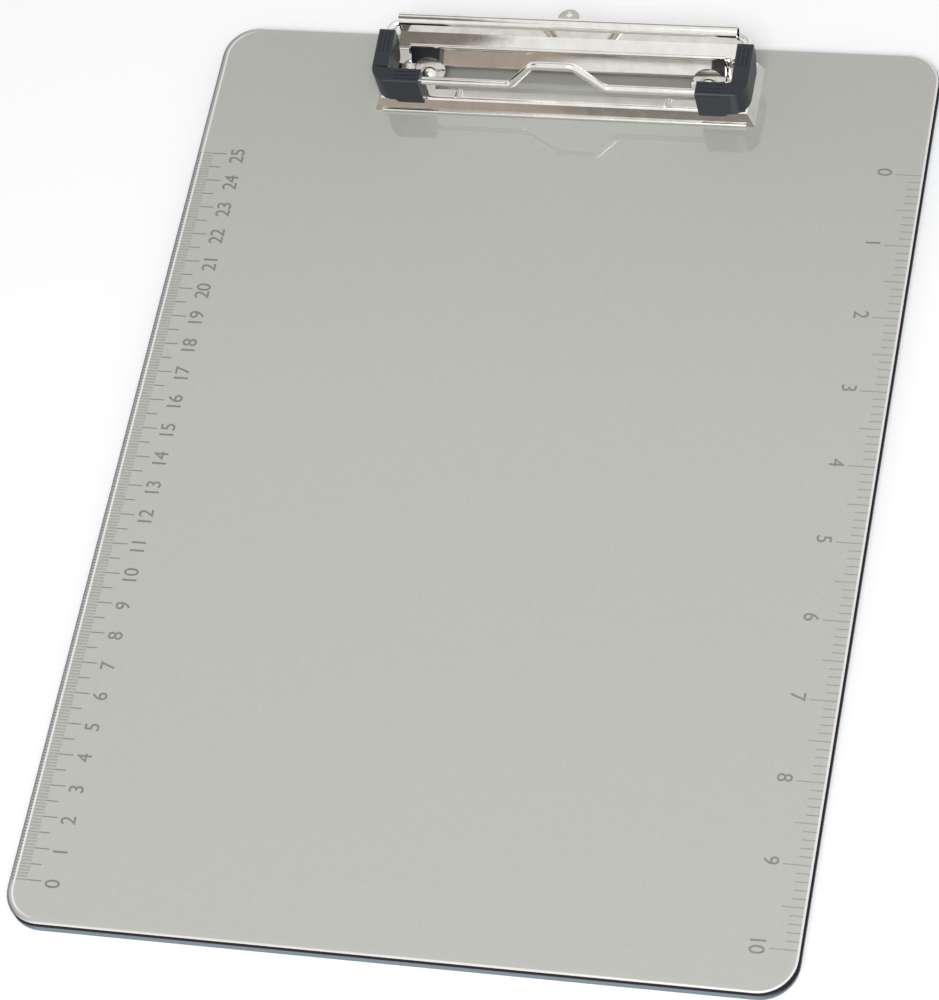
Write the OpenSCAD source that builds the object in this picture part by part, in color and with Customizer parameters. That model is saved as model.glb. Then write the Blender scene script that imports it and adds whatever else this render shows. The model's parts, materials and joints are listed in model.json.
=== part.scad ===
// Clipboard: a clear moulded board with a sprung wire clip riveted near its top edge.
// The origin is the middle of the board's underside, +Y points to the clip and +Z up, in millimetres.

/* [Board] */
// Width of the board
board_w = 228; // [160:1:320]
// Length of the board
board_l = 312; // [220:1:450]
// Thickness of the board
board_t = 5; // [3.5:0.1:9]
// Plan radius of the board's four corners
board_corner_r = 11; // [4:0.5:30]
// Rounding of the board's top and bottom edges
board_edge_r = 0.7; // [0.3:0.1:1.5]

/* [Base plate] */
// Width of the base plate
plate_w = 120; // [104:1:150]
// Depth of the base plate, front to rear
plate_depth = 21.6; // [20:0.2:30]
// Height of the base plate's top above the board
plate_h = 4.3; // [3:0.1:7]
// Sheet thickness of the base plate
plate_t = 0.8; // [0.5:0.05:1.2]
// Distance from the board's rear edge to the base plate
plate_setback = 8; // [4:0.5:40]
// Flare of the side skirts, from the top to the foot
side_flare = 2.5; // [0:0.1:3]
// Flare of the front skirt, from the top to the foot
front_flare = 2.6; // [0:0.1:3]
// Outer radius of the bend between the top and the skirts
plate_bend_r = 1.4; // [1.3:0.1:1.8]
// Depth of the jaw strip in front of the window
jaw_depth = 5.9; // [5:0.1:7]
// Depth of the window, front to rear
window_depth = 9.1; // [6:0.1:9.4]
// Radius of the round lobe that carries each rivet
lobe_r = 5.1; // [4:0.1:6]
// Distance that each end of the window runs past its lobe's nearest point
window_past_lobe = 2; // [1.5:0.1:3]
// Radius of the rolled bead along the foot of the front skirt
bead_r = 0.6; // [0.3:0.05:0.7]
// Distance of each paper stop from the middle
stop_x = 33; // [20:0.5:36]
// Width of each paper stop
stop_w = 2.4; // [1.5:0.1:4]
// Height of each paper stop above the jaw strip
stop_h = 0.5; // [0.3:0.05:0.8]

/* [Rivets] */
// Distance from the base plate's side to the rivet
rivet_inset = 15.8; // [14.5:0.1:18]
// Distance from the base plate's front to the rivet
rivet_from_front = 12.3; // [11:0.1:13]
// Radius of the rivet's shank
shank_r = 1.6; // [1:0.05:2.2]
// Radius of the rivet's domed head
head_r = 2.7; // [2.4:0.05:3.4]
// Height of the rivet's domed head
head_h = 1.3; // [0.6:0.05:2]
// Radius of the rivet's shoulder between board and plate
shoulder_r = 3; // [2.5:0.05:3.8]
// Radius of the rivet's flat tail
tail_r = 3.5; // [2.6:0.05:5]
// Thickness of the rivet's flat tail
tail_t = 1.2; // [0.6:0.05:2]

/* [Hinge] */
// Radius of the hinge pin
pin_r = 1; // [0.7:0.05:1.3]
// Height of the pin's axis above the base plate
pin_rise = 2.9; // [2.7:0.05:4]
// Distance from the base plate's rear edge to the pin's axis
pin_inset = 2.4; // [2.2:0.05:3.2]
// Radius of the ear round the pin
ear_r = 2.4; // [2:0.05:2.8]
// Distance from the base plate's side to the ear's outer face
ear_inset = 9.2; // [8.5:0.1:11]
// Radius of the pin's peened head
peen_r = 1.6; // [1.4:0.05:2]
// Length of the pin's peened head
peen_l = 0.7; // [0.4:0.05:1.2]

/* [Lever] */
// Sheet thickness of the lever
lever_t = 0.6; // [0.4:0.05:0.8]
// Gap between the lever's end and the wire arm beside it
lever_end_gap = 1.8; // [1.5:0.05:4]
// Gap between the lever's flange and the ear beside it
flange_gap = 0.3; // [0.1:0.05:0.6]
// Radius of the flange round the pin
flange_r = 2.3; // [2:0.05:2.5]
// Height of the lever's foot above the base plate
foot_gap = 1.6; // [0.4:0.05:2]
// Distance of the lever's foot in front of the pin
foot_reach = 5.05; // [3.8:0.05:5.4]
// Height of the crease above the pin
crease_rise = 3.9; // [3.6:0.05:4.6]
// Distance of the crease in front of the pin
crease_reach = 2; // [1.8:0.05:2.4]
// Radius of the rolled crease
crease_r = 0.55; // [0.45:0.05:0.7]
// Distance of the upright wall behind the pin
wall_reach = 2.4; // [2.2:0.05:3]
// Drop of the ledge's rear end below the wire's axis
ledge_drop = 1.9; // [1.6:0.05:2.4]
// Height of the fold's centre above the wire's axis
fold_rise = 1.6; // [1.2:0.1:2.4]
// Middle radius of the fold along the top
fold_r = 1.9; // [1.6:0.05:2.4]
// Drop of the pinch below the wire's axis
pinch_drop = 1.5; // [1.4:0.1:2]
// Length of the flared lip below the pinch
lip_l = 3.5; // [2:0.1:4]
// Angle of the flared lip from the upright
lip_angle = 25; // [10:1:35]
// Half width of the arch in the lever's foot over each rivet
arch_half_w = 4.4; // [3.6:0.1:4.5]
// Height of the arch
arch_h = 2.2; // [1:0.1:2.4]
// Radius of the hanging eye's round end
eye_r = 3.4; // [3:0.1:4]
// Distance of the hanging eye's rear end behind the fold's middle radius
eye_back = 4.1; // [3.6:0.1:5]
// Distance of the eye's hole from its rear end
eye_hole_back = 2; // [1.7:0.1:2.2]
// Radius of the hole in the hanging eye
eye_hole_r = 0.9; // [0.6:0.05:1.1]

/* [Wire bail] */
// Diameter of the wire
wire_d = 2.5; // [2:0.05:2.8]
// Height of the wire's tucked ends above the pin
wire_rise = 7.1; // [6.6:0.05:7.6]
// Drop of the front bar below the tucked ends
bar_drop = 1.5; // [0:0.1:2.5]
// Bend radius on the wire's axis
wire_bend_r = 3.2; // [3.1:0.05:3.6]
// Length of the wire's ends inside the lever's fold
wire_tuck = 7.4; // [4:0.1:20]
// Height of the hump in the front bar
hump_rise = 10.5; // [7:0.1:14]
// Half width of the hump's foot
hump_half_foot = 14.7; // [12:0.1:18]
// Half width of the hump's top
hump_half_top = 6.3; // [5.5:0.1:8]

/* [Grips] */
// Width of each arm of the grip
grip_w = 5.1; // [4.4:0.1:6]
// Distance from the base plate's side to the grip's outer side
grip_inset = 1; // [0:0.1:2]
// Distance of the grip's front behind the base plate's front
grip_setback = 0.3; // [0.1:0.05:1]
// Length of the front arm, from the grip's outer side
grip_front_l = 15.7; // [13:0.1:19]
// Cover of the grip above the front bar
grip_cover = 1.15; // [0.9:0.05:2]
// Rise of the side arm's top towards its rear end
grip_rise = 1.1; // [1:0.1:3]
// Length of wire left bare between the grip's rear end and the wire's rear bend
bare_wire = 0.8; // [0:0.1:1.5]
// Rounding of the grip's front top edge
grip_round = 1; // [0.4:0.1:1.4]
// Length that the slanted rear end takes off the grip's foot
grip_slant_l = 3.8; // [2:0.1:5]
// Length of the pad under the front arm that presses on the jaw strip
pad_l = 8; // [5:0.1:9]
// Lift of the rest of the grip's foot above the pad
pad_h = 1.3; // [0.5:0.1:2]
// Length of the finger grooves
groove_l = 7; // [4:0.5:8]
// Pitch of the finger grooves
groove_pitch = 1.3; // [0.9:0.05:1.5]
// Width of a finger groove
groove_w = 0.5; // [0.3:0.05:0.7]
// Depth of a finger groove
groove_depth = 0.35; // [0.2:0.05:0.5]

/* [Springs] */
// Diameter of the spring wire
spring_wire_d = 0.7; // [0.5:0.05:0.8]
// Turns in each coil, with the quarter turn between its two legs
spring_turns = 5.25; // [3.25:1:8.25]
// Pitch of the coil
spring_pitch = 1.2; // [1.2:0.05:1.6]
// Distance of the coil's inner end from the middle
spring_x = 24; // [10:0.5:28]
// Height of the upright leg's tip above the pin
spring_leg_rise = 2.6; // [2.2:0.05:2.8]
// Reach of the flat leg behind the pin
spring_leg_reach = 1.5; // [1:0.05:1.6]

/* [Fits] */
// Radial clearance of a rivet in the board
rivet_clear = 0.05; // [0.02:0.01:0.15]
// Radial running clearance of the pin in the lever's flanges
run_clear = 0.05; // [0.03:0.01:0.09]
// Clearance of the wire in the fold and in the grips
wire_clear = 0.03; // [0.02:0.01:0.08]
// Clearance of the spring wire round the pin
coil_clear = 0.3; // [0.2:0.05:0.4]
// Gap between resting faces of pieces that move apart
rest_gap = 0.05; // [0.03:0.01:0.1]

/* [Hidden] */

// Curves are this smooth, and cuts run this far past the faces that they open
$fn = 96;
over = 1;

// Places on the base plate
plate_rear = board_l / 2 - plate_setback;
plate_front = plate_rear - plate_depth;
plate_mid = (plate_front + plate_rear) / 2;
plate_top = board_t + plate_h;
plate_under = plate_top - plate_t;
jaw_rear = plate_front + jaw_depth;
rivet_x = plate_w / 2 - rivet_inset;
rivet_y = plate_front + rivet_from_front;
window_half = rivet_x - lobe_r + window_past_lobe;
ear_out = plate_w / 2 - ear_inset;
ear_in = ear_out - plate_t;
pin_y = plate_rear - pin_inset;
pin_z = plate_top + pin_rise;
wire_r = wire_d / 2;
spring_wire_r = spring_wire_d / 2;

// Places of the wire bail and its grips
grip_out = plate_w / 2 - grip_inset;
arm_x = grip_out - grip_w / 2;
grip_front = plate_front + grip_setback;
bar_y = grip_front + grip_w / 2;
wire_z = pin_z + wire_rise;
bar_z = wire_z - bar_drop;
lever_half = arm_x - wire_r - lever_end_gap;
wall_y = pin_y + wall_reach;
tuck_y = wall_y + lever_t / 2 + wire_clear + wire_r;
arm_slope = atan2(bar_drop, tuck_y - bar_y);
grip_rear = tuck_y - wire_bend_r - wire_clear - bare_wire;
grip_foot = plate_top + rest_gap;
grip_top = bar_z + wire_r + grip_cover;

// Places on the lever's profile, as [behind the pin, above the pin]
foot = [-foot_reach, foot_gap - pin_rise];
crease = [-crease_reach, crease_rise];
knee = [-crease_reach - crease_r - lever_t / 4, crease_rise - 2 * crease_r];
ledge_end = [wall_reach, wire_rise - ledge_drop];
fold_start = [wall_reach, wire_rise + fold_rise];
fold_middle = fold_start + [fold_r, 0];
pinch = [tuck_y - pin_y + wire_r + wire_clear + lever_t / 2, wire_rise - pinch_drop];
lip_end = pinch + lip_l * [sin(lip_angle), -cos(lip_angle)];
flange_out = ear_in - flange_gap;

// The fold runs past the half turn until it points straight at the pinch
to_pinch = pinch - fold_middle;
fold_extra = atan2(-to_pinch.y, to_pinch.x) - acos(fold_r / norm(to_pinch));
fold_end = fold_middle + fold_r * [cos(fold_extra), -sin(fold_extra)];

function unit(v) = v / norm(v);
function reversed(list) = [for (i = [len(list) - 1 : -1 : 0]) list[i]];

// Side faces of a bent sheet, mitred at each bend of its middle line
function left_of(a, b) = [a.y - b.y, b.x - a.x] / norm(b - a);
function mitre(line, i) =
    let (before = left_of(line[max(i - 1, 0)], line[max(i, 1)]))
    let (after = left_of(line[min(i, len(line) - 2)], line[min(i + 1, len(line) - 1)]))
    (before + after) / (1 + before * after);
function sheet_side(line, shift) = [for (i = [0 : len(line) - 1]) line[i] + shift * mitre(line, i)];

module sheet_profile(line, t) {
    polygon(concat(sheet_side(line, t / 2), reversed(sheet_side(line, -t / 2))));
}

// A flat profile drawn as [Y, Z], drawn out along X over both halves of the width
module along_x(half_w) {
    rotate([90, 0, 90]) linear_extrude(2 * half_w, center = true) children();
}

// Half section of a slab's edge, from the inner end of its corner radius outwards
module slab_edge(t, reach, edge_r) {
    square([reach - edge_r, t]);
    translate([0, edge_r]) square([reach, t - 2 * edge_r]);
    for (y = [edge_r, t - edge_r])
        translate([reach - edge_r, y]) circle(edge_r);
}

// Slab with round corners and round edges, its underside on z = 0 and its middle on the origin
module rounded_slab(w, l, t, corner_r, edge_r) {
    core = [w - 2 * corner_r, l - 2 * corner_r];
    translate([-core.x / 2, -core.y / 2, 0]) cube([core.x, core.y, t]);
    for (turn = [0 : 3]) {
        across = turn % 2 == 0 ? core.x : core.y;
        along = turn % 2 == 0 ? core.y : core.x;
        rotate([0, 0, 90 * turn]) translate([across / 2, along / 2, 0]) {
            rotate([90, 0, 0]) linear_extrude(along) slab_edge(t, corner_r, edge_r);
            rotate_extrude(angle = 90) slab_edge(t, corner_r, edge_r);
        }
    }
}

// Round bar formed as on a wire bender: each step is [feed] or [feed, roll, bend angle].
// It starts on the origin along +Z, and a roll of 0 bends it towards +X.
module past_bend(bend_r, angle) {
    translate([bend_r, 0, 0]) rotate([0, angle, 0]) translate([-bend_r, 0, 0]) children();
}

// Ring turned a little too far, then trimmed by the plane where the next straight starts
module bend(r, bend_r, angle) {
    spare = 20;
    reach = 2 * (bend_r + r);
    intersection() {
        translate([bend_r, 0, 0]) rotate([90, 0, 180])
            rotate_extrude(angle = angle + spare) translate([bend_r, 0]) circle(r);
        past_bend(bend_r, angle) translate([-reach, -reach, -2 * reach]) cube(2 * reach);
    }
}

module bent_rod(steps, r, bend_r, i = 0) {
    feed = steps[i][0];
    cylinder(h = feed, r = r);
    if (i < len(steps) - 1)
        translate([0, 0, feed]) rotate([0, 0, steps[i][1]]) {
            bend(r, bend_r, steps[i][2]);
            past_bend(bend_r, steps[i][2]) bent_rod(steps, r, bend_r, i + 1);
        }
}

// The board, with a counterbored hole under each rivet
module board() {
    color([0.74, 0.75, 0.72, 0.8]) difference() {
        rounded_slab(board_w, board_l, board_t, board_corner_r, board_edge_r);
        for (side = [-1, 1])
            translate([side * rivet_x, rivet_y, 0]) {
                translate([0, 0, -over])
                    cylinder(h = board_t + 2 * over, r = shank_r + rivet_clear);
                translate([0, 0, -over])
                    cylinder(h = tail_t + rivet_clear + over, r = tail_r + 2 * rivet_clear);
            }
    }
}

// The base plate: a shallow pressed tray, upside down, with a window and two upright ears.
// Half of a tray's section runs from its middle to a skirt that flares to its foot, over a straight drop.
module half_tray(half_foot, flare, h, bend_r, drop) {
    side = unit([-flare, h]);
    normal = [side.y, -side.x];
    middle = [half_foot - (bend_r + (h - bend_r) * normal.y) / normal.x, h - bend_r];
    polygon([
        [0, -drop],
        [half_foot, -drop],
        [half_foot, 0],
        middle + bend_r * normal,
        middle,
        [middle.x, h],
        [0, h],
    ]);
    translate(middle) circle(bend_r);
}

module tray(inset, drop) {
    half_w = plate_w / 2 - inset;
    half_depth = plate_depth / 2 - inset;
    h = plate_h - inset;
    bend_r = plate_bend_r - inset;
    translate([0, plate_mid, board_t]) intersection() {
        along_x(plate_w) {
            mirror([1, 0]) half_tray(half_depth, front_flare, h, bend_r, drop);
            half_tray(half_depth, 0, h, bend_r, drop);
        }
        rotate([90, 0, 0]) linear_extrude(2 * plate_depth, center = true)
            for (side = [0, 1])
                mirror([side, 0]) half_tray(half_w, side_flare, h, bend_r, drop);
    }
}

module plate_shell() {
    difference() {
        union() {
            tray(0, 0);
            translate([0, plate_front, board_t + bead_r + rest_gap]) rotate([0, 90, 0])
                cylinder(h = plate_w - 2 * side_flare, r = bead_r, center = true);
        }
        tray(plate_t, over);
    }
}

module plate_window() {
    difference() {
        translate([-window_half, jaw_rear]) square([2 * window_half, window_depth]);
        for (side = [-1, 1])
            translate([side * rivet_x, rivet_y]) circle(lobe_r);
    }
}

module ear_outline() {
    difference() {
        union() {
            translate([pin_y - ear_r, plate_top - plate_t / 2])
                square([2 * ear_r, pin_rise + plate_t / 2]);
            translate([pin_y, pin_z]) circle(ear_r);
        }
        translate([pin_y, pin_z]) circle(pin_r);
    }
}

module paper_stop() {
    stop_r = (stop_w * stop_w / 4 + stop_h * stop_h) / (2 * stop_h);
    intersection() {
        translate([0, 0, stop_h - stop_r]) rotate([-90, 0, 0]) cylinder(h = jaw_depth / 2, r = stop_r);
        translate([-stop_w, 0, -plate_t / 2]) cube([2 * stop_w, jaw_depth, plate_t + stop_h]);
    }
}

module base_plate() {
    color([0.78, 0.76, 0.72]) {
        difference() {
            plate_shell();
            translate([0, 0, plate_under - over]) linear_extrude(plate_t + 2 * over) plate_window();
            for (side = [-1, 1])
                translate([side * rivet_x, rivet_y, plate_under - over])
                    cylinder(h = plate_t + 2 * over, r = shank_r + rivet_clear);
        }
        for (side = [-1, 1]) {
            translate([side * (ear_in + plate_t / 2), 0, 0]) along_x(plate_t / 2) ear_outline();
            translate([side * stop_x, jaw_rear - jaw_depth / 2, plate_top]) paper_stop();
        }
    }
}

// A rivet, turned: flat tail in the board, shank, shoulder under the plate and domed head on top
module rivet(side) {
    dome_r = (head_r * head_r + head_h * head_h) / (2 * head_h);
    tail_z = rivet_clear;
    color([0.82, 0.8, 0.77]) translate([side * rivet_x, rivet_y, 0]) rotate_extrude() {
        translate([0, tail_z]) square([tail_r, tail_t]);
        translate([0, tail_z]) square([shank_r, plate_top - tail_z]);
        translate([0, board_t]) square([shoulder_r, plate_h - plate_t]);
        intersection() {
            translate([0, plate_top + head_h - dome_r]) circle(dome_r);
            translate([0, plate_top]) square([head_r, head_h]);
        }
    }
}

// The hinge pin, pressed into the ears and peened over outside them
module hinge_pin() {
    peen_ball_r = (peen_r * peen_r + peen_l * peen_l) / (2 * peen_l);
    color([0.7, 0.69, 0.67]) translate([0, pin_y, pin_z]) rotate([0, 90, 0]) {
        cylinder(h = 2 * ear_out, r = pin_r, center = true);
        for (side = [0, 1])
            mirror([0, 0, side]) translate([0, 0, ear_out]) rotate_extrude() intersection() {
                translate([0, peen_l - peen_ball_r]) circle(peen_ball_r);
                square([peen_r, peen_l]);
            }
    }
}

// The lever: one folded sheet with a creased band, a ledge, a rolled top edge and a pinched lip
module fold_profile() {
    translate(fold_middle) difference() {
        circle(fold_r + lever_t / 2);
        circle(fold_r - lever_t / 2);
        reach = fold_r + lever_t;
        fold_stop = reach * [cos(fold_extra), -sin(fold_extra)];
        polygon([[0, 0], [-reach, 0], [-reach, -reach], [reach, -reach], fold_stop]);
    }
}

module flange_profile() {
    difference() {
        union() {
            circle(flange_r);
            polygon([foot, knee, [0, flange_r], [0, -flange_r]]);
        }
        circle(pin_r + run_clear);
    }
}

module foot_arches() {
    arch_r = (arch_half_w * arch_half_w + arch_h * arch_h) / (2 * arch_h);
    for (side = [-1, 1])
        translate([side * rivet_x, foot.x - over, foot.y + arch_h - arch_r]) rotate([-90, 0, 0])
            cylinder(h = foot_reach - crease_reach + over, r = arch_r);
}

// Flat tab with a round end, standing out behind the fold at the height of its centre
module hanging_eye() {
    root_y = fold_middle.x + fold_r;
    translate([0, root_y + eye_back, fold_middle.y - lever_t / 2]) linear_extrude(lever_t)
        difference() {
            translate([0, -eye_r]) circle(eye_r);
            translate([-2 * eye_r, -eye_back - 4 * eye_r]) square(4 * eye_r);
            translate([0, -eye_hole_back]) circle(eye_hole_r);
        }
}

module lever_plate() {
    color([0.8, 0.78, 0.74]) translate([0, pin_y, pin_z]) {
        difference() {
            along_x(flange_out) sheet_profile([foot, knee, crease], lever_t);
            foot_arches();
        }
        along_x(flange_out) translate(crease) circle(crease_r);
        along_x(lever_half) sheet_profile([crease, ledge_end, fold_start], lever_t);
        along_x(lever_half) fold_profile();
        along_x(lever_half) sheet_profile([fold_end, pinch, lip_end], lever_t);
        hanging_eye();
        for (side = [-1, 1])
            translate([side * (flange_out - lever_t / 2), 0, 0]) along_x(lever_t / 2) flange_profile();
    }
}

// The wire bail: a front bar with a raised hump, arms to the rear, and both ends tucked into the fold
hump_run = hump_half_foot - hump_half_top;
hump_angle = atan2(hump_rise, hump_run);
hump_trim = wire_bend_r * tan(hump_angle / 2);
half_bail = [
    [hump_half_top - hump_trim, 0, hump_angle],
    [norm([hump_rise, hump_run]) - 2 * hump_trim, 180, hump_angle],
    [arm_x - hump_half_foot - hump_trim - wire_bend_r, -90 + arm_slope, 90],
    [norm([tuck_y - bar_y, bar_drop]) - 2 * wire_bend_r, 0, 90],
    [arm_x - wire_bend_r - lever_half + wire_tuck],
];

module wire_bail() {
    color([0.84, 0.82, 0.79])
        for (side = [0, 1])
            mirror([side, 0, 0]) translate([0, bar_y, bar_z + hump_rise]) rotate([0, 90, 0])
                bent_rod(half_bail, wire_r, wire_bend_r);
}

// A grip: an L in plan round the wire's corner, whose top rises along the side arm
corner_x = arm_x - wire_bend_r;
corner_y = bar_y + wire_bend_r;
grip_front_end = grip_out - grip_front_l;
grip_rear_top = grip_top + grip_rise;
side_slope = atan2(grip_rise, grip_rear - corner_y);

module grip_plan() {
    half = grip_w / 2;
    translate([grip_front_end, grip_front]) square([corner_x - grip_front_end, grip_w]);
    translate([arm_x - half, corner_y]) square([grip_w, grip_rear - corner_y]);
    translate([corner_x, corner_y]) difference() {
        circle(wire_bend_r + half);
        circle(wire_bend_r - half);
        translate([-2 * grip_w, 0]) square(4 * grip_w);
        translate([-4 * grip_w, -2 * grip_w]) square(4 * grip_w);
    }
}

module grip_side() {
    sleeve_foot = bar_z - wire_r - grip_cover / 2;
    round_start = [grip_front + grip_round, grip_top - grip_round];
    difference() {
        polygon([
            [grip_front, grip_foot],
            [grip_front, grip_top],
            [corner_y, grip_top],
            [grip_rear, grip_rear_top],
            [grip_rear, sleeve_foot],
            [grip_rear - grip_slant_l, grip_foot],
        ]);
        translate(round_start) difference() {
            translate([-2 * grip_round, 0]) square(2 * grip_round);
            circle(grip_round);
        }
    }
}

module grip_grooves() {
    for (row = [-1 : 1]) {
        shift = row * groove_pitch - groove_w / 2;
        translate([grip_front_end + over, bar_y + shift, grip_top - groove_depth])
            cube([groove_l, groove_w, groove_depth + over]);
        translate([arm_x + shift, grip_rear, grip_rear_top]) rotate([side_slope, 0, 0])
            translate([0, -over - groove_l, -groove_depth])
                cube([groove_w, groove_l, groove_depth + over]);
    }
}

// Everything but the pad under the front arm is lifted off the plate, with a slanted step beside the pad
module pad_relief() {
    pad_end = grip_front_end + pad_l;
    translate([0, grip_rear + over, grip_foot]) rotate([90, 0, 0]) linear_extrude(2 * plate_depth)
        polygon([
            [pad_end, -over],
            [pad_end, 0],
            [pad_end + pad_h, pad_h],
            [plate_w, pad_h],
            [plate_w, -over],
        ]);
}

module wire_bore() {
    start = grip_front_end - over;
    steps = [
        [corner_x - start, 90 + arm_slope, 90],
        [grip_rear + over - corner_y],
    ];
    translate([start, bar_y, bar_z]) rotate([0, 90, 0]) bent_rod(steps, wire_r + wire_clear, wire_bend_r);
}

module grip(side) {
    color([0.2, 0.21, 0.23]) mirror([side < 0 ? 1 : 0, 0, 0]) difference() {
        intersection() {
            translate([0, 0, board_t]) linear_extrude(grip_rear_top) grip_plan();
            along_x(plate_w) grip_side();
        }
        wire_bore();
        grip_grooves();
        pad_relief();
    }
}

// A torsion spring: an upright leg behind the lever's band, a coil round the pin and a leg on the plate
spring_r = pin_r + coil_clear + spring_wire_r;
rings_per_turn = 8;
spring_sides = 6;
band_lean = atan2(knee.x - foot.x, knee.y - foot.y);
band_at_tip = foot.x + (spring_leg_rise - foot.y) * tan(band_lean);
upright_tip = band_at_tip + (lever_t / 2 + rest_gap + spring_wire_r) / cos(band_lean);
flat_tip = spring_wire_r + rest_gap - pin_rise;
coil_path = [for (i = [0 : rings_per_turn * spring_turns])
    let (angle = 180 + 360 * i / rings_per_turn)
    [spring_x + spring_pitch * i / rings_per_turn, spring_r * cos(angle), spring_r * sin(angle)]];
spring_path = concat(
    [[spring_x, upright_tip, spring_leg_rise]],
    coil_path,
    [[spring_x + spring_pitch * spring_turns, spring_leg_reach, flat_tip]]
);

// Least gap between one ring of the coil and any ring half a turn or more away
last_ring = len(coil_path) - 1;
coil_gap = min([for (i = [0 : last_ring]) for (j = [i + rings_per_turn / 2 : 1 : last_ring])
    norm(coil_path[i] - coil_path[j]) - spring_wire_d]);
echo(spring_coil_gap = coil_gap);

function path_heading(path, i) = unit(path[min(i + 1, len(path) - 1)] - path[max(i - 1, 0)]);
function ring(path, i) =
    let (outward = unit(cross(path_heading(path, i), [1, 0, 0])))
    let (sideways = cross(outward, path_heading(path, i)))
    [for (k = [0 : spring_sides - 1])
        let (a = 360 * k / spring_sides)
        path[i] + spring_wire_r * (cos(a) * outward + sin(a) * sideways)];

module swept_wire(path) {
    last = len(path) - 1;
    sides = spring_sides;
    points = [for (i = [0 : last]) each ring(path, i)];
    skin = [for (i = [0 : last - 1]) for (k = [0 : sides - 1])
        let (next = (k + 1) % sides)
        each [
            [i * sides + k, i * sides + next, (i + 1) * sides + next],
            [i * sides + k, (i + 1) * sides + next, (i + 1) * sides + k],
        ]];
    start_cap = [for (k = [1 : sides - 2]) [0, k + 1, k]];
    end_cap = [for (k = [1 : sides - 2]) [last * sides, last * sides + k, last * sides + k + 1]];
    polyhedron(points, concat(skin, start_cap, end_cap));
}

module spring(side) {
    color([0.72, 0.71, 0.69]) mirror([side < 0 ? 1 : 0, 0, 0]) translate([0, pin_y, pin_z])
        swept_wire(spring_path);
}

board();
base_plate();
rivet(-1);  // left_rivet
rivet(1);  // right_rivet
hinge_pin();
spring(-1);  // left_spring
spring(1);  // right_spring
lever_plate();
wire_bail();
grip(-1);  // left_grip
grip(1);  // right_grip
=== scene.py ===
import bpy
import json
import math
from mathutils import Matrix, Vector


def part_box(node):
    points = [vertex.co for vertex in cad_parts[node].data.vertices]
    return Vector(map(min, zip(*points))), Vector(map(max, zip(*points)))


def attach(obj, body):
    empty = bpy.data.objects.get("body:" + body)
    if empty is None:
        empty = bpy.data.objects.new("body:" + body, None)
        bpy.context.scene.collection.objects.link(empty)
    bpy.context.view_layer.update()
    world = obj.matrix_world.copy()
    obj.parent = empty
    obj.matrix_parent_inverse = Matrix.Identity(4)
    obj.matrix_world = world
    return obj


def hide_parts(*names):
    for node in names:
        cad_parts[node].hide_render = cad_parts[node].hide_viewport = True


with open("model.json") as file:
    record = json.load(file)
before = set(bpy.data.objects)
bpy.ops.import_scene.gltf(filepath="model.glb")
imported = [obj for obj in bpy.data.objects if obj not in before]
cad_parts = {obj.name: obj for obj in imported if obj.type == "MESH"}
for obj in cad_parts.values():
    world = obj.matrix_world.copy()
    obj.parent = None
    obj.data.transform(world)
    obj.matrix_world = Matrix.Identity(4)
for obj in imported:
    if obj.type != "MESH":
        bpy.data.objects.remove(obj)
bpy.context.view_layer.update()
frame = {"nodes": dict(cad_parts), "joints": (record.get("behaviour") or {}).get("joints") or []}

# Camera: it stands beyond the foot of the board, a little to the right, and looks down on the clip.
# The long lens keeps the board's sides almost parallel, and the small shift is the photograph's framing.
MM = 0.001
camera_place = Vector((305.83, -589.61, 1041.67)) * MM
camera_turn = (30.594, 10.176, 10.392)
camera_data = bpy.data.cameras.new("camera")
camera_data.lens = 151.174
camera_data.shift_x = -0.0472
camera_data.shift_y = 0.0054
camera = bpy.data.objects.new("camera", camera_data)
camera.location = camera_place
camera.rotation_euler = [math.radians(angle) for angle in camera_turn]
bpy.context.scene.collection.objects.link(camera)
bpy.context.scene.camera = camera
bpy.context.scene.view_settings.view_transform = "Standard"

# Floor: a wide sheet of white paper, which keeps the soft shadow round the board.
# It glows a little for the camera and in reflections only, and more towards its edges,
# so that it stays white.
floor_size = 6.0
floor_drop = 0.05 * MM
WHITE = (1, 1, 1)
PAPER_WHITE = (0.93, 0.93, 0.93)
near_distance = 0.4
far_distance = 2.4
near_glow = 0.14
far_glow = 0.56


def new_material(name):
    """A material with its node list, its links and its main shader."""
    material = bpy.data.materials.new(name)
    material.use_nodes = True
    tree = material.node_tree
    return material, tree.nodes, tree.links, tree.nodes["Principled BSDF"]


def point_on(nodes):
    """The place of a point of the piece, in metres."""
    return nodes.new("ShaderNodeTexCoord").outputs["Object"]


def value_math(nodes, links, operation, *values):
    """One step of arithmetic on one or two values."""
    step = nodes.new("ShaderNodeMath")
    step.operation = operation
    for value, socket in zip(values, step.inputs):
        links.new(value, socket)
    return step.outputs[0]


def vector_math(nodes, links, operation, vector, other=(0, 0, 0)):
    """One step of arithmetic on a vector and a fixed one; its outputs are Vector and Value."""
    step = nodes.new("ShaderNodeVectorMath")
    step.operation = operation
    step.inputs[1].default_value = other
    links.new(vector, step.inputs[0])
    return step.outputs


def span_on(nodes, links, value, first, last, low=0.0, high=1.0):
    """From low to high as a value goes from first to last, and level beyond them."""
    span = nodes.new("ShaderNodeMapRange")
    span.inputs["From Min"].default_value = first
    span.inputs["From Max"].default_value = last
    span.inputs["To Min"].default_value = low
    span.inputs["To Max"].default_value = high
    links.new(value, span.inputs["Value"])
    return span.outputs[0]


def seen_directly(nodes, links):
    """1 for rays that come from the camera or from a glossy or clear surface, else 0."""
    rays = nodes.new("ShaderNodeLightPath").outputs
    mirrored = value_math(nodes, links, "MAXIMUM", rays["Is Glossy Ray"], rays["Is Transmission Ray"])
    return value_math(nodes, links, "MAXIMUM", rays["Is Camera Ray"], mirrored)


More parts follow.
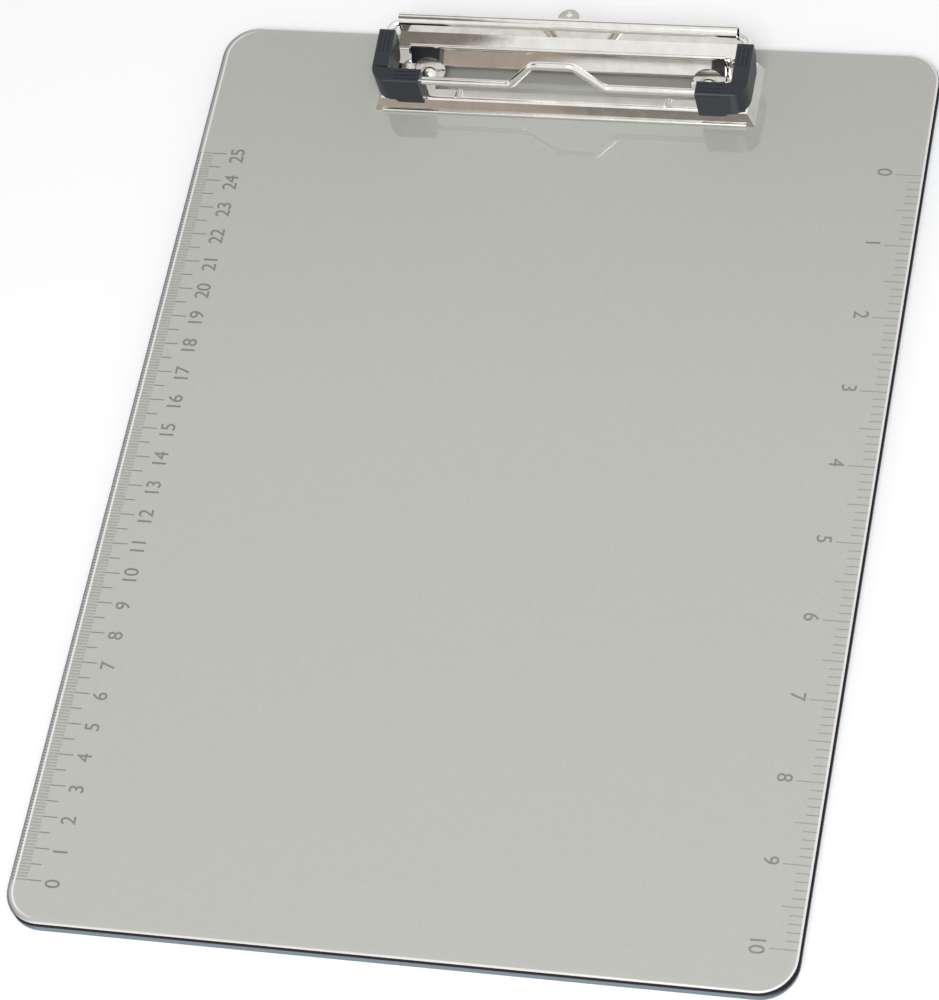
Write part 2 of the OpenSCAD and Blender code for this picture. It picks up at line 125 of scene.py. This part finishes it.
bpy.ops.object.select_all(action="DESELECT")
bpy.ops.mesh.primitive_plane_add(size=floor_size, location=(0, 0, -floor_drop))
floor = bpy.context.active_object
floor.name = "floor"
paper, nodes, links, shader = new_material("white_paper")
shader.inputs["Base Color"].default_value = (*PAPER_WHITE, 1)
shader.inputs["Roughness"].default_value = 0.9
shader.inputs["Specular IOR Level"].default_value = 0.1
shader.inputs["Emission Color"].default_value = (*WHITE, 1)
distance = vector_math(nodes, links, "LENGTH", point_on(nodes))["Value"]
paper_glow = span_on(nodes, links, distance, near_distance, far_distance, near_glow, far_glow)
seen_glow = value_math(nodes, links, "MULTIPLY", seen_directly(nodes, links), paper_glow)
links.new(seen_glow, shader.inputs["Emission Strength"])
floor.data.materials.append(paper)

# Studio light: an even white surround, and one large soft lamp, high in front of the board.
# The surround is plain white where it is seen, and dimmer where it lights the object.
lighting_level = 0.42
seen_level = 1.0
surround = bpy.data.worlds.new("studio")
bpy.context.scene.world = surround
surround.use_nodes = True
nodes, links = surround.node_tree.nodes, surround.node_tree.links
background = nodes["Background"]
background.inputs["Color"].default_value = (*WHITE, 1)
surround_level = span_on(nodes, links, seen_directly(nodes, links), 0, 1, lighting_level, seen_level)
links.new(surround_level, background.inputs["Strength"])

lamp_place = Vector((0.2, -0.75, 1.45))
lamp_data = bpy.data.lights.new("soft_lamp", "AREA")
lamp_data.shape = "SQUARE"
lamp_data.size = 0.9
lamp_data.energy = 18.0
lamp = bpy.data.objects.new("soft_lamp", lamp_data)
lamp.location = lamp_place
lamp.rotation_euler = lamp_place.to_track_quat("Z", "Y").to_euler()
bpy.context.scene.collection.objects.link(lamp)

# Reflector cards: plain brown cards round the table, which give the bright metal its dark bands.
# They are seen in reflections only, so they neither stand in any view nor shade the object.
CARD_TAN = (0.42, 0.36, 0.31)
CARD_BROWN = (0.22, 0.2, 0.172)


def ramp_on(nodes, links, value, *stops):
    """Colours along a value: each stop is (position, colour)."""
    ramp = nodes.new("ShaderNodeValToRGB")
    while len(ramp.color_ramp.elements) < len(stops):
        ramp.color_ramp.elements.new(0.5)
    for element, (position, colour) in zip(ramp.color_ramp.elements, stops):
        element.position = position
        element.color = (*colour, 1)
    links.new(value, ramp.inputs["Fac"])
    return ramp.outputs["Color"]


def place_on(nodes, links):
    """The X, Y and Z of a point of the piece, in metres."""
    split = nodes.new("ShaderNodeSeparateXYZ")
    links.new(point_on(nodes), split.inputs[0])
    return split.outputs


def reflector_card(name, colour, middle, width, height, upright=False, fading=False):
    """A level or upright card that glows in its colour; a fading one is white at its front and rear."""
    bpy.ops.object.select_all(action="DESELECT")
    bpy.ops.mesh.primitive_plane_add(size=1, location=middle)
    card = bpy.context.active_object
    card.name = name
    card.scale = (width, height, 1)
    card.rotation_euler.x = math.radians(90 if upright else 0)
    bpy.ops.object.transform_apply(location=True, rotation=True, scale=True)
    card.visible_camera = False
    card.visible_diffuse = False
    card.visible_shadow = False
    card_stock, nodes, links, shader = new_material(name + "_stock")
    shader.inputs["Base Color"].default_value = (0, 0, 0, 1)
    shader.inputs["Roughness"].default_value = 1.0
    shader.inputs["Specular IOR Level"].default_value = 0.0
    shader.inputs["Emission Color"].default_value = (*colour, 1)
    shader.inputs["Emission Strength"].default_value = 1.0
    if fading:
        front_edge = middle[1] - height / 2
        depth = span_on(nodes, links, place_on(nodes, links)["Y"], front_edge, front_edge + height)
        tone = ramp_on(nodes, links, depth, (0.0, WHITE), (0.4, colour), (0.6, colour), (1.0, WHITE))
        links.new(tone, shader.inputs["Emission Color"])
    card.data.materials.append(card_stock)


reflector_card("rear_card", CARD_BROWN, (-0.2, 1.7, 1.5), width=3.2, height=1.6, fading=True)
reflector_card("left_card", CARD_BROWN, (-1.0, -0.1, 1.5), width=1.16, height=1.1)
reflector_card("front_left_card", CARD_TAN, (-1.1, -1.9, 0.22), width=1.2, height=0.28, upright=True)
reflector_card("front_card", CARD_BROWN, (0.1, -1.9, 0.29), width=1.2, height=0.15, upright=True)

# Board: a moulded sheet of smoke-grey styrene with round corners, polished enough to mirror the clip.
# Its walls are painted darker and bluer than its face, because there one looks along the sheet: painted
# shade at the top of each wall and painted blue light below it. Its rim carries painted light too.
BASE = "board_and_base"
STYRENE = (0.472, 0.479, 0.437)
# The rim colours are painted light: a painted highlight on the rounded edge, and on the left painted
# shade outside it, grading through grey.
RIM_HIGHLIGHT = (0.84, 0.79, 0.78)
RIM_PALE_SHADE = (0.42, 0.42, 0.4)
RIM_GREY_SHADE = (0.33, 0.33, 0.32)
RIM_SHADE = (0.13, 0.125, 0.125)
# The wall colours are painted light: painted shade at the top of each wall, painted blue light below it.
WALL_LIT_BLUE = (0.25, 0.32, 0.36)
WALL_SHADE = (0.04, 0.033, 0.036)
board_corner_r = 11 * MM
rim_span = 3 * MM
cloudy_share = 0.96
cloud_waves = 900.0
ripple_waves = 400.0
ripple_height = 0.002 * MM
wall_slope = 0.6


def shaded(colour, share):
    """A colour darkened to a share of itself."""
    return [share * channel for channel in colour]


def only(piece):
    """Select this piece alone and make it active."""
    bpy.ops.object.select_all(action="DESELECT")
    piece.select_set(True)
    bpy.context.view_layer.objects.active = piece


def dressed_copy(node, body, edge_round=0.0, smooth_angle=35):
    """A welded copy of a CAD piece with its sharp edges broken, which is shown in the piece's place."""
    weld_distance = 0.001 * MM
    flat_angle = math.radians(0.4)
    sharp_angle = math.radians(smooth_angle)
    piece = bpy.data.objects.new(node + "_dressed", frame["nodes"][node].data.copy())
    bpy.context.scene.collection.objects.link(piece)
    piece.data.materials.clear()
    only(piece)
    bpy.ops.object.mode_set(mode="EDIT")
    bpy.ops.mesh.select_all(action="SELECT")
    bpy.ops.mesh.remove_doubles(threshold=weld_distance)
    bpy.ops.mesh.dissolve_limited(angle_limit=flat_angle)
    bpy.ops.object.mode_set(mode="OBJECT")
    if edge_round:
        soften = piece.modifiers.new("edge_break", "BEVEL")
        soften.width = edge_round
        soften.segments = 2
        soften.limit_method = "ANGLE"
        soften.angle_limit = sharp_angle
        bpy.ops.object.modifier_apply(modifier=soften.name)
    bpy.ops.object.shade_smooth_by_angle(angle=sharp_angle)
    flatten = piece.modifiers.new("flat_faces", "WEIGHTED_NORMAL")
    flatten.weight = 100
    flatten.keep_sharp = True
    bpy.ops.object.modifier_apply(modifier=flatten.name)
    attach(piece, body)
    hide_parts(node)
    return piece


def noise_on(nodes, links, scale, detail=2.0):
    """Noise that is fixed to the object, with its scale in waves per metre."""
    noise = nodes.new("ShaderNodeTexNoise")
    noise.inputs["Scale"].default_value = scale
    noise.inputs["Detail"].default_value = detail
    links.new(point_on(nodes), noise.inputs["Vector"])
    return noise.outputs["Fac"]


def bump_on(nodes, links, shader, value, height):
    """Fine relief from a value, with its full height in metres."""
    bump = nodes.new("ShaderNodeBump")
    bump.inputs["Distance"].default_value = height
    links.new(value, bump.inputs["Height"])
    links.new(bump.outputs["Normal"], shader.inputs["Normal"])


def outline_depth(nodes, links, half_size, corner_r):
    """How far a point of the board lies inside its round-cornered outline, up to the corner radius."""
    far_above = 1.0
    # This point lies far above the board, so that the height of a point on the board never counts.
    corner_middle = (half_size.x - corner_r, half_size.y - corner_r, far_above)
    folded = vector_math(nodes, links, "ABSOLUTE", point_on(nodes))["Vector"]
    beyond = vector_math(nodes, links, "SUBTRACT", folded, corner_middle)["Vector"]
    in_corner = vector_math(nodes, links, "MAXIMUM", beyond)["Vector"]
    reach = vector_math(nodes, links, "LENGTH", in_corner)["Value"]
    return span_on(nodes, links, reach, 0, corner_r, corner_r, 0)


def mixed(nodes, links, factor, first, second):
    """One colour where the factor is 0, the other where it is 1."""
    mix = nodes.new("ShaderNodeMix")
    mix.data_type = "RGBA"
    links.new(factor, mix.inputs["Factor"])
    links.new(first, mix.inputs["A"])
    links.new(second, mix.inputs["B"])
    return mix.outputs["Result"]


board = dressed_copy("board", BASE)
board_low, board_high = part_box("board")
styrene, nodes, links, shader = new_material("smoke_styrene")
shader.inputs["Roughness"].default_value = 0.03
shader.inputs["IOR"].default_value = 2.0
clouds = noise_on(nodes, links, cloud_waves, detail=3.0)
cloudy_styrene = shaded(STYRENE, cloudy_share)
face_colour = ramp_on(nodes, links, clouds, (0.3, cloudy_styrene), (0.7, STYRENE))
# The rim's painted lines lie at shares of its span: a painted highlight all round, and on the left a
# painted shade line outside the highlight.
rim_depth = span_on(nodes, links, outline_depth(nodes, links, board_high, board_corner_r), 0, rim_span)
plain_rim_highlight = ramp_on(nodes, links, rim_depth, (0.0, RIM_HIGHLIGHT), (0.22, RIM_HIGHLIGHT), (0.3, STYRENE))
left_rim_shade_and_highlight = ramp_on(
    nodes, links, rim_depth,
    (0.0, RIM_SHADE), (0.16, RIM_SHADE), (0.26, RIM_GREY_SHADE), (0.44, RIM_PALE_SHADE),
    (0.5, RIM_HIGHLIGHT), (0.64, RIM_HIGHLIGHT), (0.7, STYRENE),
)
across = place_on(nodes, links)["X"]
on_left = span_on(nodes, links, across, board_low.x + board_corner_r, board_low.x + rim_span)
rim_painted_light = mixed(nodes, links, on_left, plain_rim_highlight, left_rim_shade_and_highlight)
past_rim = span_on(nodes, links, rim_depth, 0.7, 0.75)
links.new(mixed(nodes, links, past_rim, rim_painted_light, face_colour), shader.inputs["Base Color"])
bump_on(nodes, links, shader, noise_on(nodes, links, ripple_waves), ripple_height)
board.data.materials.append(styrene)

# The walls' colours are painted light: painted shade at the top of each wall, taller on the side walls,
# and painted blue light below it.
styrene_wall_painted_light, nodes, links, shader = new_material("styrene_wall_painted_light")
shader.inputs["Roughness"].default_value = 0.3
shader.inputs["Specular IOR Level"].default_value = 0.0
place = place_on(nodes, links)
wall_height = span_on(nodes, links, place["Z"], 0, board_high.z)
front_wall_painted_light = ramp_on(nodes, links, wall_height, (0.58, WALL_LIT_BLUE), (0.68, WALL_SHADE))
side_wall_painted_light = ramp_on(nodes, links, wall_height, (0.26, WALL_LIT_BLUE), (0.42, WALL_SHADE))
aside = value_math(nodes, links, "ABSOLUTE", place["X"])
on_side = span_on(nodes, links, aside, board_high.x - board_corner_r, board_high.x - rim_span)
links.new(mixed(nodes, links, on_side, front_wall_painted_light, side_wall_painted_light), shader.inputs["Base Color"])
board.data.materials.append(styrene_wall_painted_light)
for face in board.data.polygons:
    face.material_index = 1 if abs(face.normal.z) < wall_slope else 0

# Edge scales: fine ridges moulded on the board's face, centimetres on the left and inches on the right.
# The strokes start near the edge, the figures stand beside the long strokes, and all are a darker grey.
LEFT = -1
RIGHT = 1
ridge_rise = 0.1 * MM
ridge_bevel = 0.6 * ridge_rise
ridge_width = 0.3 * MM
line_waves = 700.0
line_dark_share = 0.88
figure_height = 4.4 * MM
figure_height_share = 0.69
figure_narrowing = 0.9
figure_spacing = 0.95


def scale_grey(name, share):
    """The board's own grey, darkened to a share of it, with a little variation along the line."""
    material, nodes, links, shader = new_material(name)
    colour = shaded(STYRENE, share)
    darker = shaded(colour, line_dark_share)
    tone = ramp_on(nodes, links, noise_on(nodes, links, line_waves), (0.35, darker), (0.65, colour))
    links.new(tone, shader.inputs["Base Color"])
    shader.inputs["Roughness"].default_value = 0.12
    return material


def stroke_row(name, side, start, end, first_y, step, count, material, width=ridge_width):
    """Equal ridges across an edge of the board, from one distance to another from that edge."""
    length = end - start
    middle_x = side * (board_high.x - start - length / 2)
    bpy.ops.object.select_all(action="DESELECT")
    bpy.ops.mesh.primitive_cube_add(size=1, location=(middle_x, first_y, board_high.z))
    row = bpy.context.active_object
    row.name = name
    row.scale = (length, width, 2 * ridge_rise)
    bpy.ops.object.transform_apply(location=True, rotation=True, scale=True)
    bpy.ops.object.mode_set(mode="EDIT")
    bpy.ops.mesh.select_all(action="SELECT")
    bpy.ops.mesh.bevel(offset=ridge_bevel, segments=1, affect="EDGES")
    bpy.ops.object.mode_set(mode="OBJECT")
    repeat = row.modifiers.new("repeat", "ARRAY")
    repeat.count = count
    repeat.use_relative_offset = False
    repeat.use_constant_offset = True
    repeat.constant_offset_displace = (0, step, 0)
    bpy.ops.object.modifier_apply(modifier=repeat.name)
    row.data.materials.append(material)
    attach(row, BASE)


def scale_figure(name, number, side, inset, y, material):
    """One raised number, made flat at its size and turned to read along its edge."""
    figure_place = (side * (board_high.x - inset), y, board_high.z)
    quarter_turn = math.radians(-90 * side)
    bpy.ops.object.select_all(action="DESELECT")
    bpy.ops.object.text_add(location=figure_place, rotation=(0, 0, quarter_turn))
    figure = bpy.context.active_object
    figure.name = name
    figure.data.body = str(number)
    figure.data.size = figure_height / figure_height_share
    figure.data.space_character = figure_spacing
    figure.data.align_x = "CENTER"
    figure.data.align_y = "CENTER"
    figure.data.extrude = ridge_rise
    figure.scale.x = figure_narrowing
    bpy.ops.object.convert(target="MESH")
    bpy.ops.object.transform_apply(location=True, rotation=True, scale=True)
    figure.data.materials.append(material)
    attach(figure, BASE)


centimetres = 25
centimetre = 10 * MM
half_centimetre = centimetre / 2
millimetre = centimetre / 10
millimetre_marks = 10 * centimetres + 1
centimetre_zero = -142.76 * MM
rim_start = 0.75 * MM
rim_end = 1.4 * MM
fine_start = 2.1 * MM
fine_end = 5.3 * MM
fine_width = 0.5 * MM
half_centimetre_end = 8.6 * MM
centimetre_end = 9.7 * MM
left_figure_inset = 13.4 * MM
left_figure_shift = -0.6 * MM
# The strokes on the left rim are real marks, painted much darker there as painted shade of the rim.
left_rim_stroke_shade = scale_grey("left_rim_stroke_shade", share=0.3)
left_fine_grey = scale_grey("left_fine_grey", share=0.86)
left_stroke_grey = scale_grey("left_stroke_grey", share=0.5)
left_figure_grey = scale_grey("left_figure_grey", share=0.5)
stroke_row(
    "rim_strokes", LEFT, rim_start, rim_end,
    centimetre_zero, millimetre, millimetre_marks, left_rim_stroke_shade,
)
stroke_row(
    "millimetre_strokes", LEFT, fine_start, fine_end,
    centimetre_zero, millimetre, millimetre_marks, left_fine_grey, fine_width,
)
stroke_row(
    "half_centimetre_strokes", LEFT, fine_end, half_centimetre_end,
    centimetre_zero + half_centimetre, centimetre, centimetres, left_stroke_grey,
)
stroke_row(
    "centimetre_strokes", LEFT, fine_end, centimetre_end,
    centimetre_zero, centimetre, centimetres + 1, left_stroke_grey,
)
for mark in range(centimetres + 1):
    mark_y = centimetre_zero + mark * centimetre + left_figure_shift
    scale_figure(f"centimetre_figure_{mark}", mark, LEFT, left_figure_inset, mark_y, left_figure_grey)

inches = 10
inch = 25.4 * MM
half_inch = inch / 2
tenth = inch / 10
inch_zero = 111.55 * MM
tenth_start = 0.8 * MM
tenth_end = 4.6 * MM
half_inch_end = 7.1 * MM
inch_end = 8.7 * MM
right_figure_inset = 12.3 * MM
right_figure_shift = 0.7 * MM
right_stroke_grey = scale_grey("right_stroke_grey", share=0.74)
right_figure_grey = scale_grey("right_figure_grey", share=0.55)
stroke_row(
    "tenth_strokes", RIGHT, tenth_start, tenth_end,
    inch_zero, -tenth, 10 * inches + 1, right_stroke_grey,
)
stroke_row(
    "half_inch_strokes", RIGHT, tenth_end, half_inch_end,
    inch_zero - half_inch, -inch, inches, right_stroke_grey,
)
stroke_row(
    "inch_strokes", RIGHT, tenth_end, inch_end,
    inch_zero, -inch, inches + 1, right_stroke_grey,
)
for mark in range(inches + 1):
    mark_y = inch_zero - mark * inch + right_figure_shift
    scale_figure(f"inch_figure_{mark}", mark, RIGHT, right_figure_inset, mark_y, right_figure_grey)

# Base plate: sheet steel pressed into a shallow upside-down tray with a window, two ears and a bead.
# It is nickel plated after pressing, so its edges are bright too.
NICKEL = (0.86, 0.838, 0.8)
DULL_NICKEL = shaded(NICKEL, 0.9)
patch_waves = 220.0
haze_waves = 500.0
haze_share = 0.4
press_ripple = 0.0015 * MM
sheet_edge = 0.12 * MM


def nickel(name, roughness, ripple_scale=2600.0):
    """Bright nickel plate: slightly warm, with faint cloudy patches and a fine ripple from the press."""
    material, nodes, links, shader = new_material(name)
    shader.inputs["Metallic"].default_value = 1.0
    patches = noise_on(nodes, links, patch_waves, detail=4.0)
    tone = ramp_on(nodes, links, patches, (0.35, DULL_NICKEL), (0.7, NICKEL))
    links.new(tone, shader.inputs["Base Color"])
    haze = noise_on(nodes, links, haze_waves, detail=3.0)
    least = (1 - haze_share) * roughness
    most = (1 + haze_share) * roughness
    dulled = span_on(nodes, links, haze, 0, 1, least, most)
    links.new(dulled, shader.inputs["Roughness"])
    bump_on(nodes, links, shader, noise_on(nodes, links, ripple_scale), press_ripple)
    return material


base_plate = dressed_copy("base_plate", BASE, sheet_edge)
base_plate.data.materials.append(nickel("base_plate_nickel", roughness=0.08))

# Rivets: two nickel-plated steel rivets with low domed heads, set through the base plate into the board.
# The tails are spread in counterbores under the board, so that it lies flat.
turned_edge = 0.08 * MM
rivet_plating = nickel("rivet_nickel", roughness=0.2)
for rivet_node in ("left_rivet", "right_rivet"):
    rivet = dressed_copy(rivet_node, BASE, turned_edge)
    rivet.data.materials.append(rivet_plating)

# Hinge pin: drawn steel rod, pressed into the ears and peened over outside them.
# The lever's two flanges turn on it.
pin = dressed_copy("hinge_pin", BASE, turned_edge)
pin.data.materials.append(nickel("pin_steel", roughness=0.22, ripple_scale=3500.0))

# Torsion springs: two coils of spring wire round the hinge pin, mirror images of each other.
# One leg of each stands behind the lever's band and the other lies on the base plate.
spring_wire_r = 0.35 * MM
coil_r = 1.65 * MM
coil_pitch = 1.2 * MM
coil_turns = 5.25
points_per_turn = 24
wire_smooth_angle = 40
upright_tip = Vector((0, -2.0, 2.6)) * MM
flat_tip = Vector((0, 1.5, -2.5)) * MM
hinge_place = Vector(frame["joints"][0]["pos_m"])
spring_steel = nickel("spring_steel", roughness=0.24, ripple_scale=4000.0)
for side, spring_node in ((LEFT, "left_spring"), (RIGHT, "right_spring")):
    spring_low, spring_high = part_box(spring_node)
    coil_start = min(abs(spring_low.x), abs(spring_high.x)) + spring_wire_r
    coil_points = []
    for i in range(round(points_per_turn * coil_turns) + 1):
        angle = math.pi + 2 * math.pi * i / points_per_turn
        along = coil_start + coil_pitch * i / points_per_turn
        coil_points.append(Vector((along, coil_r * math.cos(angle), coil_r * math.sin(angle))))
    first_tip = upright_tip + Vector((coil_start, 0, 0))
    last_tip = flat_tip + Vector((coil_points[-1].x, 0, 0))
    spring_points = [first_tip, *coil_points, last_tip]
    spring_path = bpy.data.curves.new(spring_node + "_wire", "CURVE")
    spring_path.dimensions = "3D"
    spring_path.bevel_depth = spring_wire_r
    spring_path.bevel_resolution = 3
    spring_path.use_fill_caps = True
    run = spring_path.splines.new("POLY")
    run.points.add(len(spring_points) - 1)
    for point, spot in zip(run.points, spring_points):
        point.co = (hinge_place.x + side * spot.x, hinge_place.y + spot.y, hinge_place.z + spot.z, 1)
    spring = bpy.data.objects.new(spring_node + "_dressed", spring_path)
    bpy.context.scene.collection.objects.link(spring)
    only(spring)
    bpy.ops.object.convert(target="MESH")
    bpy.ops.object.mode_set(mode="EDIT")
    bpy.ops.mesh.select_all(action="SELECT")
    bpy.ops.mesh.normals_make_consistent(inside=False)
    bpy.ops.object.mode_set(mode="OBJECT")
    bpy.ops.object.shade_smooth_by_angle(angle=math.radians(wire_smooth_angle))
    spring.data.materials.append(spring_steel)
    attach(spring, BASE)
    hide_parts(spring_node)

# Lever: one folded sheet with a creased band, a ledge and a rolled top edge that holds the wire's ends.
# It is pressed from nickel-plated steel, turns on the pin, and has a small hanging eye behind the roll.
CLIP = "lever_and_bail"
lever = dressed_copy("lever_plate", CLIP, sheet_edge)
lever.data.materials.append(nickel("lever_nickel", roughness=0.065))

# Wire bail: one length of drawn wire, bent to a front bar with a raised hump and two arms to the rear.
# Its ends are tucked into the lever's rolled edge, and it is nickel plated.
bail = dressed_copy("wire_bail", CLIP, smooth_angle=50)
bail.data.materials.append(nickel("wire_nickel", roughness=0.06))

# Grips: two black moulded corners pushed over the wire's bends, with finger grooves along their tops.
# The pad under each front arm presses the paper on the base plate.
GRIP_BLACK = (0.012, 0.017, 0.025)
GRIP_PALER = (0.018, 0.0245, 0.035)
mottle_waves = 1200.0
texture_waves = 4500.0
texture_height = 0.012 * MM
moulded_edge = 0.15 * MM
grip_plastic, nodes, links, shader = new_material("grip_black")
shader.inputs["Roughness"].default_value = 0.36
mottle = noise_on(nodes, links, mottle_waves, detail=4.0)
grip_tone = ramp_on(nodes, links, mottle, (0.3, GRIP_BLACK), (0.7, GRIP_PALER))
links.new(grip_tone, shader.inputs["Base Color"])
grip_texture = noise_on(nodes, links, texture_waves, detail=3.0)
bump_on(nodes, links, shader, grip_texture, texture_height)
for grip_node in ("left_grip", "right_grip"):
    grip = dressed_copy(grip_node, CLIP, moulded_edge, smooth_angle=25)
    grip.data.materials.append(grip_plastic)
